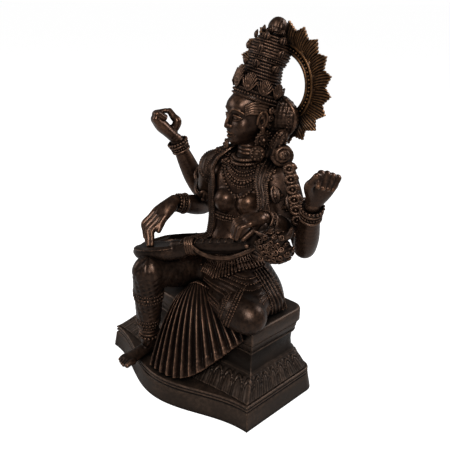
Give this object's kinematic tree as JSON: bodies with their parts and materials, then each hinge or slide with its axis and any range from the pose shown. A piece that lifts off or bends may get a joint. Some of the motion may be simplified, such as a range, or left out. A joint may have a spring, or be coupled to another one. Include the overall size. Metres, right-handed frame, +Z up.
{
  "type": "saraswati figure",
  "caption": "Cast brass figure of a seated goddess with four arms and a long lute, on a moulded pedestal with a bowed front, with a ring of leaves behind her crown",
  "frame": {"origin": "on the underside of the pedestal, in the middle of its slab from side to side and from the bow of the front to the back edge", "axes": "+Z up, -Y out of the bowed front that the figure faces, +X toward the figure's left hand and the head of the lute"},
  "size_m": [0.2975, 0.194, 0.433],
  "materials": {
    "base_brass": "satin dark brown patina with dust in the recesses",
    "dark_brass": "satin dark brown patina, rubbed to copper and gold on the high spots",
    "ring_brass": "satin brown patina, rubbed on the rims of the leaves"
  },
  "bodies": {
    "root": {"pedestal": "base_brass", "figure": "dark_brass", "leaf_ring": "ring_brass"}
  },
  "joints": []
}
